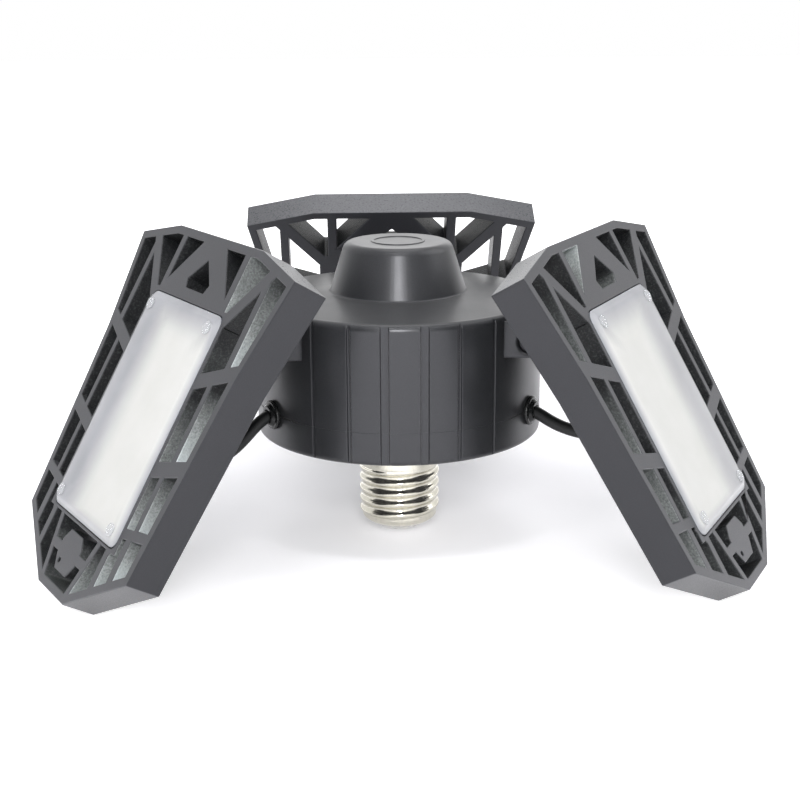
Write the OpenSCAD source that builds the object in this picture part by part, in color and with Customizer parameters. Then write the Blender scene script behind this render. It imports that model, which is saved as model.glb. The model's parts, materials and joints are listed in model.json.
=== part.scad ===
// Deformable three-panel garage light, standing as photographed on its panel ends.
// The axis of the lamp is Z. The origin is the centre of the screw shell's upper rim.

/* [Body] */
// Radius of the round housing
body_r = 45.5; // [44:0.5:48]
// Height of the housing side, base cover included
body_h = 42.7; // [40:0.1:46]
// Height of the base cover, up to the seam
cover_h = 10.2; // [9:0.1:12]
// Wall of the mouldings
wall = 2.2; // [1.6:0.1:2.6]
// Radius of the raised dome at its foot
dome_r = 21.6; // [19:0.1:23]
// Radius of the raised dome at its flat top
dome_top_r = 16.8; // [14:0.1:18]
// Height of the dome above the housing's rim
dome_h = 17.1; // [12:0.1:20]
// Depth of the vertical grooves round the side
groove_d = 0.6; // [0.3:0.1:0.9]

/* [Screw base] */
// Length of the neck between the cover and the screw shell
neck_h = 10.3; // [8:0.1:14]
// Radius of the shell over its thread crests
shell_r = 13.1; // [12.9:0.05:13.25]
// Pitch of the lamp thread
shell_pitch = 3.63; // [3.6:0.01:3.66]
// Length of the metal shell
shell_h = 20.4; // [19:0.1:22]

/* [Panels] */
// Length of a light panel
panel_l = 113.9; // [110:0.1:116]
// Thickness of a light panel
panel_t = 10.8; // [9:0.1:12]
// Width of the lattice frame's outer rim
rim_w = 2.8; // [2.2:0.1:3.2]
// How far the panels droop below flat, in degrees
droop = 59.2; // [0:0.1:90]
// Height of the lens above the panel's front face
lens_up = 1.2; // [0.6:0.1:1.4]

/* [Hinges] */
// Distance of a hinge axis from the lamp's axis
hinge_r = 50.4; // [50.4:0.1:52]
// Depth of a hinge axis below the housing's rim
hinge_drop = 7.4; // [7:0.1:9]
// Distance from the hinge axis to the panel's back face
hinge_gap = 14.6; // [14:0.1:17]
// Distance along the panel from its inner end to the hinge
hinge_foot = 21.4; // [19:0.1:22]
// Radius of the hinge bolt
bolt_r = 2; // [1.5:0.1:2.2]
// Diameter of the black lead to each panel
lead_d = 3.8; // [3:0.1:3.9]

/* [Hidden] */
$fn = 72;
// Radial clearance of pins in their bores
fit = 0.05;
az_back = 90;
az_left = 210;
az_right = 330;
cover_z = neck_h;
seam_z = cover_z + cover_h;
top_z = cover_z + body_h;
hinge_z = top_z - hinge_drop;
front_z = hinge_gap + panel_t;
lens_w = 48.4;
lens_l = 70.8;
lens_v = 21.3;
ear_in = 11.5;
ear_t = 3.2;
arm_w = 22;
lead_v = 38;
// Routes of the leads from gland to grommet, as radius and height
route_right = [[39.6, 20.5], [43.5, 20.5], [46.8, 20.4], [49.6, 19.4], [52.6, 18], [56, 16.8], [59.8, 16],
    [63.4, 15.7], [66.8, 16.1], [70, 17.5], [71.8, 20], [72.2, 22.8]];
route_left = [[39.6, 20.5], [43.5, 20.5], [46.8, 20.4], [49.6, 19.3], [52.7, 17.1], [55.9, 14.4],
    [59.4, 11.9], [63.2, 10.2], [67.4, 10.1], [71.4, 12], [74, 15.5], [74.2, 19.8]];
// The last points of every lead, as distances down the panel and off its back face
lead_entry = [[11, 7.1], [6, 7.6], [3, 6.8], [0.8, 4.6], [0, 1.6], [0, -2]];

// Places a hinge's pieces: local X outwards, Y along the hinge axis, Z up
module at_hinge(az) {
    rotate([0, 0, az]) translate([hinge_r, 0, hinge_z]) children();
}

// Places a panel's pieces: X along the panel from the hinge, Z out of its front face
module on_panel(az) {
    at_hinge(az) rotate([0, droop, 0]) children();
}

// Repeats a piece on both sides of a panel's centre line
module both_sides() {
    children();
    mirror([0, 1, 0]) children();
}

// A flat rectangle with round corners, centred
module round_rect(l, w, r) {
    square([l - 2 * r, w], center = true);
    square([l, w - 2 * r], center = true);
    for (sx = [-1, 1], sy = [-1, 1])
        translate([sx * (l / 2 - r), sy * (w / 2 - r)]) circle(r);
}

// ---------- body ----------

// Half section of the housing with its rounded rim and tapered dome
module housing_section(grow, z0, rim_f, dome_f) {
    lean = atan((dome_r - dome_top_r) / (dome_h - 1.8));
    br = body_r - grow;
    bt = top_z - grow;
    dt = top_z + dome_h - grow;
    tr = dome_top_r - grow;
    cr = tr + dome_f * tan(lean) - dome_f / cos(lean);
    translate([0, z0]) square([br - rim_f, bt - z0]);
    translate([0, z0]) square([br, bt - z0 - rim_f]);
    translate([br - rim_f, bt - rim_f]) circle(rim_f);
    polygon([[0, bt], [br - rim_f, bt], [dome_r - grow, bt + 1.8], [0, bt + 1.8]]);
    polygon([[0, bt + 1.8], [dome_r - grow, bt + 1.8],
        [cr + dome_f * cos(lean), dt - dome_f + dome_f * sin(lean)], [cr, dt], [0, dt]]);
    translate([cr, dt - dome_f]) circle(dome_f);
}

// Turns a half section about the lamp's axis, without what lies left of the axis
module turned() {
    rotate_extrude($fn = 144) intersection() {
        children();
        translate([0, -200]) square([200, 400]);
    }
}

// Vertical grooves of the side, three times round, clear of the hinges
module side_grooves(z0, z1) {
    for (mid = [30, 150, 270], s = [-1, 1]) {
        rotate([0, 0, mid + s * 7.45])
            translate([body_r - groove_d, -1.25, z0]) cube([4, 2.5, z1 - z0]);
        for (a = [21.1, 36.3])
            rotate([0, 0, mid + s * a])
                translate([body_r - groove_d * 0.8, -0.5, z0]) cube([4, 1, z1 - z0]);
    }
}

// Side view of a hinge ear, with the axis at its origin
module ear_section() {
    circle(4.6);
    polygon([[-7.6, -5.4], [0, -4.6], [0, 4.6], [-7.6, 5.9]]);
}

// The pair of ears of one hinge, without their bores
module ears() {
    for (y = [-ear_in, ear_in + ear_t])
        translate([0, y, 0]) rotate([90, 0, 0]) linear_extrude(ear_t) ear_section();
}

// Bore and end pockets of a hinge
module hinge_bore() {
    rotate([90, 0, 0]) cylinder(r = bolt_r + fit, h = 40, center = true);
    for (s = [-1, 1])
        translate([0, s * (ear_in + ear_t), 0]) rotate([s * -90, 0, 0]) {
            cylinder(r = 3.2, h = 4, center = true);
            translate([0, 0, -0.5]) cylinder(r1 = 3.2, r2 = 3.8, h = 0.6);
        }
}

// Round hole through both mouldings, centred on the seam
module gland_hole(az) {
    rotate([0, 0, az]) translate([body_r - 6, 0, seam_z]) rotate([0, 90, 0]) cylinder(r = 3, h = 10);
}

module housing() {
    color("#4b4c50") difference() {
        union() {
            difference() {
                turned() housing_section(0, seam_z, 2, 2.8);
                turned() housing_section(wall, seam_z - 1, 1, 1.5);
            }
            for (az = [az_back, az_left, az_right]) at_hinge(az) ears();
            for (az = [30, 150, 270])
                rotate([0, 0, az]) translate([40.2, 0, seam_z + 1]) cylinder(r = 3.4, h = body_h - cover_h - 2);
            translate([0, 0, top_z + dome_h - 0.2]) difference() {
                cylinder(r = 8.6, h = 0.5);
                translate([0, 0, -1]) cylinder(r = 7.6, h = 3);
            }
        }
        side_grooves(seam_z - 1, top_z + 1);
        for (az = [az_back, az_left, az_right]) {
            at_hinge(az) hinge_bore();
            gland_hole(az);
        }
        for (az = [30, 150, 270])
            rotate([0, 0, az]) translate([40.2, 0, seam_z - 1]) cylinder(r = 1.5 + fit, h = 15);
    }
}

// Half section of the base cover: cup, neck and the spigot that carries the shell
module cover_section() {
    difference() {
        union() {
            translate([0, cover_z]) square([body_r - 1.5, cover_h]);
            translate([0, cover_z + 1.5]) square([body_r, cover_h - 1.5]);
            translate([body_r - 1.5, cover_z + 1.5]) circle(1.5);
            translate([0, seam_z - 1]) square([body_r - wall - fit, 3.5]);
        }
        translate([0, cover_z + 2.6]) square([body_r - wall - 1.6, cover_h + 4]);
    }
    polygon([[0, cover_z + 1], [19, cover_z + 1], [16.2, cover_z - 3], [14.6, 1.5], [14.2, 0], [0, 0]]);
    translate([0, -9]) square([11.4, 10]);
}

module base_cover() {
    color("#45464a") difference() {
        union() {
            difference() {
                turned() cover_section();
                for (az = [30, 150, 270])
                    rotate([0, 0, az]) translate([body_r - wall - 8, -5, seam_z + 0.4]) cube([20, 10, 6]);
            }
            for (az = [30, 150, 270])
                rotate([0, 0, az]) translate([40.2, 0, cover_z + 2]) cylinder(r = 3.4, h = cover_h - 2);
            for (az = [0, 120, 240])
                rotate([0, 0, az]) translate([28, 0, cover_z + 2]) cylinder(r = 3, h = 11.5);
        }
        translate([0, 0, -10]) cylinder(r = 10.4, h = 30);
        side_grooves(cover_z - 1, seam_z + 1);
        for (az = [az_back, az_left, az_right]) gland_hole(az);
        for (az = [30, 150, 270])
            rotate([0, 0, az]) translate([40.2, 0, cover_z]) {
                translate([0, 0, -1]) cylinder(r = 1.5 + fit, h = 20);
                translate([0, 0, -1]) cylinder(r = 3, h = 2.8);
            }
    }
}

module cover_screws() {
    color("#b9bbbe") for (az = [30, 150, 270])
        rotate([0, 0, az]) translate([40.2, 0, cover_z + 0.1]) {
            difference() {
                cylinder(r = 2.85, h = 1.7);
                for (a = [0, 90]) rotate([0, 0, a]) cube([3.4, 0.8, 1.8], center = true);
            }
            translate([0, 0, 1.6]) cylinder(r = 1.5, h = 20);
        }
}

// Screw shell: smooth collar, thread rolls and turned-in end
module screw_shell() {
    color("#d5d6d4") difference() {
        union() {
            translate([0, 0, -4]) cylinder(r = shell_r + 0.05, h = 4);
            translate([0, 0, -shell_h]) cylinder(r = shell_r - 0.95, h = shell_h - 1);
            for (i = [0:3])
                translate([0, 0, -6.1 - i * shell_pitch])
                    rotate_extrude() translate([shell_r - 1.35, 0]) circle(1.35);
            translate([0, 0, -shell_h - 1.6])
                cylinder(r1 = shell_r - 2.6, r2 = shell_r - 0.95, h = 1.6);
        }
        translate([0, 0, -shell_h + 0.4]) cylinder(r = shell_r - 1.65, h = shell_h + 1);
        translate([0, 0, -shell_h - 2]) cylinder(r = shell_r - 3.4, h = 3);
    }
}

module insulator() {
    color("#efeee9") translate([0, 0, -shell_h - 1.6]) {
        difference() {
            union() {
                translate([0, 0, -2.4]) cylinder(r1 = 6.6, r2 = 10.2, h = 2.4);
                cylinder(r = shell_r - 3.4 - fit, h = 3);
            }
            translate([0, 0, -3]) cylinder(r = 2 + fit, h = 8);
        }
    }
}

module centre_contact() {
    color("#c9cac8") translate([0, 0, -shell_h - 4]) {
        turned() intersection() {
            translate([0, 4.1]) circle(5.8);
            translate([0, -1.7]) square([5, 1.7]);
        }
        cylinder(r = 2, h = 5.2);
    }
}

module driver_board() {
    color("#3b6a45") translate([0, 0, cover_z + 13.5]) difference() {
        cylinder(r = 32, h = 1.6);
        translate([0, 0, -1]) cylinder(r = 3, h = 4);
    }
}

// Capacitors, transformer, choke and terminal block on the board
module driver_parts() {
    z = cover_z + 15.1;
    color("#8a6b3a") {
        translate([-14, 8, z]) cylinder(r = 6.5, h = 16);
        translate([-14, -10, z]) cylinder(r = 5, h = 14);
        translate([4, -9, z]) cube([18, 18, 14]);
        translate([12, 18, z]) cylinder(r = 5, h = 9);
        translate([2, -25, z]) cube([16, 9, 8]);
    }
}

module gland(az) {
    color("#202124") rotate([0, 0, az]) translate([0, 0, seam_z]) rotate([0, 90, 0]) difference() {
        union() {
            translate([0, 0, 40.2]) cylinder(r = 3.9, h = 1.3);
            translate([0, 0, 41]) cylinder(r = 3 - fit, h = 5);
            translate([0, 0, body_r + 0.1]) cylinder(r = 4.6, h = 1.2);
            translate([0, 0, body_r + 1.3]) cylinder(r1 = 4, r2 = 2.8, h = 1.1);
        }
        translate([0, 0, 39]) cylinder(r = lead_d / 2 + fit, h = 14);
    }
}

// ---------- leads ----------

// A point of the lead's run into the panel: how far below the grommet, and how far off the back face
function off_panel(x, d) = [
    hinge_r + (lead_v - hinge_foot + x) * cos(droop) + (hinge_gap - d) * sin(droop),
    hinge_z - (lead_v - hinge_foot + x) * sin(droop) + (hinge_gap - d) * cos(droop)];
function whole_route(p) = concat(p, [for (e = lead_entry) off_panel(e[0], e[1])]);
// Smooth curve through the points, three rings to a step
function catmull(p, i, t) = let(
        a = p[max(i - 1, 0)], b = p[i], c = p[i + 1], d = p[min(i + 2, len(p) - 1)])
    0.5 * (2 * b + (c - a) * t + (2 * a - 5 * b + 4 * c - d) * t * t + (3 * b - a - 3 * c + d) * t * t * t);
function smooth_route(p) = concat([for (i = [0:len(p) - 2], t = [0, 0.5]) catmull(p, i, t)], [p[len(p) - 1]]);
function unit(v) = v / norm(v);
function heading(p, i) = unit(p[min(i + 1, len(p) - 1)] - p[max(i - 1, 0)]);

// Tube of eight sides along a route in the hinge's radial plane
module swept_lead(p, r) {
    n = len(p);
    pts = [for (i = [0:n - 1], k = [0:7])
        let(h = heading(p, i), a = k * 45 + 22.5, q = p[i] + r * cos(a) * [-h[1], h[0]]) [q[0], r * sin(a), q[1]]];
    sides = [for (i = [0:n - 2], k = [0:7], s = [0, 1])
        let(a = i * 8 + k, b = i * 8 + (k + 1) % 8) s == 0 ? [a, b, a + 8] : [b, b + 8, a + 8]];
    caps = [for (k = [1:6], s = [0, 1])
        s == 0 ? [0, k + 1, k] : [(n - 1) * 8, (n - 1) * 8 + k, (n - 1) * 8 + k + 1]];
    polyhedron(points = pts, faces = concat(sides, caps), convexity = 6);
}

module lead(az, route) {
    color("#1c1d1f") rotate([0, 0, az]) swept_lead(smooth_route(whole_route(route)), lead_d / 2);
}

// ---------- hinge pieces ----------

module hinge_bolt(az) {
    color("#6d6e70") at_hinge(az) rotate([90, 0, 0]) difference() {
        union() {
            translate([0, 0, -12.7]) cylinder(r = bolt_r, h = 25.4);
            translate([0, 0, 12.7]) cylinder(r = 2.9, h = 1);
            translate([0, 0, -14.4]) cylinder(r = bolt_r - 0.5, h = 2);
        }
        translate([0, 0, 13]) cylinder(r = 1.2, h = 2, $fn = 6);
    }
}

module hinge_nut(az) {
    color("#8b8c8e") at_hinge(az) rotate([90, 0, 0]) translate([0, 0, -14.3]) difference() {
        cylinder(r = 3.1, h = 1.55, $fn = 6);
        translate([0, 0, -1]) cylinder(r = bolt_r - 0.5 + fit, h = 4);
    }
}

// Friction washers either side of the arm's barrel
module washers(az) {
    color("#9b9c9e") at_hinge(az) rotate([90, 0, 0])
        for (z = [-ear_in + 0.05, ear_in - 0.45]) translate([0, 0, z]) difference() {
            cylinder(r = 4, h = 0.4);
            translate([0, 0, -1]) cylinder(r = bolt_r + fit, h = 3);
        }
}

// ---------- panels ----------

// Half outline of a panel as distance along it and distance from its centre line
half_outline = [[0, 27.5], [5.4, 51.1], [37, 44.6], [97.2, 39.3], [panel_l, 10.4]];
outline = concat(half_outline, [for (i = [len(half_outline) - 1:-1:0]) [half_outline[i][0], -half_outline[i][1]]]);

// Outline moved inwards by a distance, corner by corner
function edge_in(p, i) = let(n = len(p), e = unit(p[(i + 1) % n] - p[i])) [e[1], -e[0]];
function inset(p, d) = [for (i = [0:len(p) - 1])
    let(n = len(p), a = edge_in(p, (i + n - 1) % n), b = edge_in(p, i)) p[i] + d * (a + b) / (1 + a * b)];

// Straight rib of a given width between two points
module rib(a, b, w) {
    v = b - a;
    translate(a) rotate(atan2(v[1], v[0])) translate([0, -w / 2]) square([norm(v), w]);
}

// Ribs on one side of the centre line: from, to, width
ribs = [
    [[1, 21.1], [21, 21.1], 3.3],
    [[1, 38.1], [35, 38.1], 3],
    [[4, 39.8], [22.6, 24.4], 4.3],
    [[32.8, 46], [40.6, 25], 4.6],
    [[39, 33.5], [63, 33.5], 2.6],
    [[61.9, 43.6], [67.4, 24.8], 4.8],
    [[66, 31.5], [85, 31.5], 2.5],
    [[83.7, 41], [86.6, 24.8], 3.2],
    [[86, 29.7], [103, 29.7], 3.2],
    [[88, 25.2], [93.5, 21.4], 3.2],
    [[92, 21.3], [107, 21.3], 3.1],
    [[91, 15.6], [111.5, 9.6], 2.6],
    [[101.4, 0], [101.4, 13.2], 3.2]];

// Open lattice of a panel: rim, ribs, hub, tray walls and end boss
module lattice() {
    difference() {
        polygon(outline);
        polygon(inset(outline, rim_w));
    }
    intersection() {
        polygon(outline);
        union() {
            both_sides() for (r = ribs) rib(r[0], r[1], r[2]);
            difference() {
                polygon([[0, 5.6], [16.4, 19.8], [22, 19.8], [22, -19.8], [16.4, -19.8], [0, -5.6]]);
                polygon([[7.7, 0], [14.5, 7.2], [17.3, 5.8], [17.3, -5.8], [14.5, -7.2]]);
            }
            translate([19.7, -25.9]) square([73.6, 51.8]);
            polygon([[95.2, 4.6], [98.6, 7.3], [103.2, 7.3], [107.6, 4.4],
                [107.6, -4.4], [103.2, -7.3], [98.6, -7.3], [95.2, -4.6]]);
        }
    }
}

// Screw and stud positions on a panel
arm_holes = [for (x = [-5.6, 5.6], y = [-8.8, 8.8]) [x, y]];
stud_holes = [for (v = [4.4, lens_l - 4.4], u = [-20, 20]) [lens_v + v - hinge_foot, u]];
lens_x = lens_v + lens_l / 2 - hinge_foot;

module frame(az) {
    color("#56575b") on_panel(az) difference() {
        translate([-hinge_foot, 0, hinge_gap]) linear_extrude(panel_t, convexity = 12) lattice();
        translate([lens_x, 0, front_z - 1.6]) linear_extrude(3) round_rect(lens_l + 0.3, lens_w + 0.3, 3);
        translate([lens_x, 0, front_z - 5.5]) linear_extrude(6) round_rect(lens_l - 3.4, lens_w - 3.4, 2);
        for (u = [-20.4:5.1:20.4])
            translate([24, u - 1.5, hinge_gap - 1]) cube([44, 3, 3.4]);
        for (p = arm_holes) translate([p[0], p[1], hinge_gap - 1]) cylinder(r = 1.25 + fit, h = 5);
        for (p = stud_holes) translate([p[0], p[1], front_z - 8.5]) cylinder(r = 1.2 + fit, h = 5);
        translate([lead_v - hinge_foot, 0, hinge_gap - 1]) cylinder(r = 2.6, h = 12);
        translate([104.8 - hinge_foot, -3.6, front_z - 1]) cylinder(r = 0.7, h = 3);
    }
}

// Side view of the arm: barrel round the hinge axis, flared into its foot
module arm_section() {
    circle(4.4);
    polygon([[-4.4, 0], [-4.4, 8.4], [-8, hinge_gap - 3], [8.6, hinge_gap - 3], [4.4, 5.6], [4.4, 0]]);
}

module arm(az) {
    color("#3e3f43") on_panel(az) difference() {
        union() {
            translate([0, arm_w / 2, 0]) rotate([90, 0, 0]) linear_extrude(arm_w) arm_section();
            translate([-9, -12, hinge_gap - 3]) cube([18, 24, 3]);
        }
        rotate([90, 0, 0]) cylinder(r = bolt_r + fit, h = 40, center = true);
        for (p = arm_holes) {
            translate([p[0], p[1], 0]) cylinder(r = 1.25 + fit, h = 20);
            translate([p[0], p[1], -1]) cylinder(r = 2.4, h = hinge_gap - 1.4);
        }
    }
}

module arm_screws(az) {
    color("#b9bbbe") on_panel(az) for (p = arm_holes) translate([p[0], p[1], hinge_gap - 2.4]) {
        translate([0, 0, -1.4]) difference() {
            cylinder(r = 2.2, h = 1.4);
            for (a = [0, 90]) rotate([0, 0, a]) cube([2.6, 0.6, 1.2], center = true);
        }
        cylinder(r = 1.25, h = 6);
    }
}

module led_board(az) {
    color("#f0efe6") on_panel(az) translate([lens_x, 0, front_z - 5.5]) difference() {
        linear_extrude(1.2) round_rect(lens_l - 4, lens_w - 4, 1.8);
        for (p = stud_holes) translate([p[0] - lens_x, p[1], -1]) cylinder(r = 1.2 + fit, h = 4);
        translate([lead_v - hinge_foot - lens_x, 0, -1]) cylinder(r = 2, h = 4);
    }
}

// Rows of light-emitting chips on the board
module led_chips(az) {
    color("#f6e9a8") on_panel(az) translate([lens_x, 0, front_z - 4.3])
        for (i = [-4:4], j = [-2.5:1:2.5])
            if (abs(i) < 4 || abs(j) < 2)
                translate([i * 7.2 - 1.4, j * 6.6 - 1.4, 0]) cube([2.8, 2.8, 0.7]);
}

// Frosted lens: a flat plate with bevelled edges and round corners
module lens(az) {
    t = 1.6 + lens_up;
    b = 1.1;
    color("#f4f4f2") on_panel(az) translate([lens_x, 0, front_z - 1.6]) difference() {
        intersection() {
            linear_extrude(t) round_rect(lens_l, lens_w, 3);
            translate([0, lens_w / 2, 0]) rotate([90, 0, 0]) linear_extrude(lens_w)
                polygon([[-lens_l / 2, 0], [lens_l / 2, 0], [lens_l / 2, t - b], [lens_l / 2 - 2, t],
                    [2 - lens_l / 2, t], [-lens_l / 2, t - b]]);
            translate([-lens_l / 2, 0, 0]) rotate([90, 0, 90]) linear_extrude(lens_l)
                polygon([[-lens_w / 2, 0], [lens_w / 2, 0], [lens_w / 2, t - b], [lens_w / 2 - 2, t],
                    [2 - lens_w / 2, t], [-lens_w / 2, t - b]]);
        }
        for (p = stud_holes) translate([p[0] - lens_x, p[1], -1]) cylinder(r = 1.2 + fit, h = 9);
    }
}

// Clear studs that hold the lens and the board down
module lens_studs(az) {
    color("#e6eef2") on_panel(az) for (p = stud_holes) {
        translate([p[0], p[1], front_z + lens_up]) cylinder(r = 2, h = 0.5);
        translate([p[0], p[1], front_z - 8]) cylinder(r = 1.2, h = 8 + lens_up);
    }
}

module grommet(az) {
    color("#202124") on_panel(az) translate([lead_v - hinge_foot, 0, hinge_gap]) difference() {
        union() {
            translate([0, 0, -1.2]) cylinder(r = 4, h = 1.2);
            translate([0, 0, -2.6]) cylinder(r1 = 2.6, r2 = 3.2, h = 1.4);
            cylinder(r = 2.6 - fit, h = 4);
        }
        translate([0, 0, -4]) cylinder(r = lead_d / 2 + 0.25, h = 12);
    }
}

housing();
base_cover();
cover_screws();
screw_shell();
insulator();
centre_contact();
driver_board();
driver_parts();
gland(az_back);  // gland_back
gland(az_left);  // gland_left
gland(az_right);  // gland_right
lead(az_back, route_right);  // lead_back
lead(az_left, route_left);  // lead_left
lead(az_right, route_right);  // lead_right
hinge_bolt(az_back);  // hinge_bolt_back
hinge_bolt(az_left);  // hinge_bolt_left
hinge_bolt(az_right);  // hinge_bolt_right
hinge_nut(az_back);  // hinge_nut_back
hinge_nut(az_left);  // hinge_nut_left
hinge_nut(az_right);  // hinge_nut_right
washers(az_back);  // washers_back
washers(az_left);  // washers_left
washers(az_right);  // washers_right
frame(az_back);  // frame_back
frame(az_left);  // frame_left
frame(az_right);  // frame_right
arm(az_back);  // arm_back
arm(az_left);  // arm_left
arm(az_right);  // arm_right
arm_screws(az_back);  // arm_screws_back
arm_screws(az_left);  // arm_screws_left
arm_screws(az_right);  // arm_screws_right
led_board(az_back);  // led_board_back
led_board(az_left);  // led_board_left
led_board(az_right);  // led_board_right
led_chips(az_back);  // led_chips_back
led_chips(az_left);  // led_chips_left
led_chips(az_right);  // led_chips_right
lens(az_back);  // lens_back
lens(az_left);  // lens_left
lens(az_right);  // lens_right
lens_studs(az_back);  // lens_studs_back
lens_studs(az_left);  // lens_studs_left
lens_studs(az_right);  // lens_studs_right
grommet(az_back);  // grommet_back
grommet(az_left);  // grommet_left
grommet(az_right);  // grommet_right
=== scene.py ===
import json
import math

import bmesh
import bpy
from mathutils import Matrix, Vector

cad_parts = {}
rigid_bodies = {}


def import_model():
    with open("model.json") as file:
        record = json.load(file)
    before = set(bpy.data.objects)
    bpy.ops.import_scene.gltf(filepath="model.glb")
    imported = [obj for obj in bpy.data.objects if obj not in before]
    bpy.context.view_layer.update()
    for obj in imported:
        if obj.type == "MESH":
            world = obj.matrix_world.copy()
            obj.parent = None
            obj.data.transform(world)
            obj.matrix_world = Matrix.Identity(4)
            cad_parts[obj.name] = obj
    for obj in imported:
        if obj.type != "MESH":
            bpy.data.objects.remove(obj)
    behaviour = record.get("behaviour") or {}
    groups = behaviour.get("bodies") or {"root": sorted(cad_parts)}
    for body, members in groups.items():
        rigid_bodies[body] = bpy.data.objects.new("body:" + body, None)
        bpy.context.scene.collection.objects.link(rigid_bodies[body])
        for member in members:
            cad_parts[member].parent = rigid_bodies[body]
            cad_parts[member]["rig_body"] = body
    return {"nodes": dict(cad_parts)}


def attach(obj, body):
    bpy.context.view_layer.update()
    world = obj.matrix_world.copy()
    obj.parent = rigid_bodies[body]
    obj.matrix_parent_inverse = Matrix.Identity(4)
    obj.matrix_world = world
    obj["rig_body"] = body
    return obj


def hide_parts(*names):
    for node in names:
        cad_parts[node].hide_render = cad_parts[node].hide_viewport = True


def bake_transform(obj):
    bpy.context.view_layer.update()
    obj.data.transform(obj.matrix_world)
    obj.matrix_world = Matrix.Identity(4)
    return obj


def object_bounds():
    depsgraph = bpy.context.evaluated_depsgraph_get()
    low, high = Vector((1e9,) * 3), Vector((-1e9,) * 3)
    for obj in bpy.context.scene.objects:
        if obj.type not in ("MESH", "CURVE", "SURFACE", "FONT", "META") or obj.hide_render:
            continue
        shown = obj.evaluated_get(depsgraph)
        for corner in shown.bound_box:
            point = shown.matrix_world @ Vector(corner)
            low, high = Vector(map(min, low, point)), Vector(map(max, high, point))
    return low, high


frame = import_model()
CAD_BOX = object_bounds()
NODES = frame["nodes"]
SCENE = bpy.context.scene
MM = 0.001
UP = Vector((0, 0, 1))
# Each panel's azimuth in degrees.
SIDES = {"back": 90.0, "left": 210.0, "right": 330.0}
# Which flank of a panel is turned to the front: 1 where its offset is positive, -1 where negative.
NEAR = {"left": 1, "right": -1, "back": 0}

# ---------------------------------------------------------------- camera

# Fitted, with the part's main dimensions, to points of the photograph.
LENS_MM, SENSOR_MM = 62.23, 36.0
CAMERA_AT = Vector((-0.017124, -0.43199, 0.141951))
CAMERA_RIGHT = Vector((0.999103, -0.041997, -0.005353))
CAMERA_UP = Vector((0.016724, 0.275331, 0.961204))


def make_camera():
    data = bpy.data.cameras.new("camera")
    data.lens = LENS_MM
    data.sensor_width = SENSOR_MM
    data.clip_start = 0.01
    camera = bpy.data.objects.new("camera", data)
    SCENE.collection.objects.link(camera)
    right = CAMERA_RIGHT.normalized()
    back = right.cross(CAMERA_UP).normalized()
    up = back.cross(right)
    turn = Matrix((right, up, back)).transposed().to_4x4()
    camera.matrix_world = Matrix.Translation(CAMERA_AT) @ turn
    SCENE.camera = camera


# ---------------------------------------------------------------- node trees


class Tree:
    """A node tree written afresh on a material or the world."""

    def __init__(self, owner, output):
        owner.use_nodes = True
        self.nodes = owner.node_tree.nodes
        self.links = owner.node_tree.links
        self.nodes.clear()
        self.out = self.nodes.new(output)

    def link(self, source, target):
        self.links.new(source, target)

    def node(self, kind, **values):
        """A new node, with each value put on the input of that name, or else on the attribute."""
        n = self.nodes.new(kind)
        for key, value in values.items():
            if key in n.inputs:
                n.inputs[key].default_value = value
            else:
                setattr(n, key, value)
        return n

    def show(self, lit, shown):
        """End the tree: camera, glossy and transmitted rays are shown the white studio."""
        path = self.node("ShaderNodeLightPath")
        seen = path.outputs["Is Camera Ray"]
        for name in ("Is Glossy Ray", "Is Transmission Ray"):
            larger = self.node("ShaderNodeMath", operation="MAXIMUM")
            self.link(seen, larger.inputs[0])
            self.link(path.outputs[name], larger.inputs[1])
            seen = larger.outputs[0]
        mix = self.node("ShaderNodeMixShader")
        for source, target in zip((seen, lit, shown), mix.inputs):
            self.link(source, target)
        self.link(mix.outputs[0], self.out.inputs[0])


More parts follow.
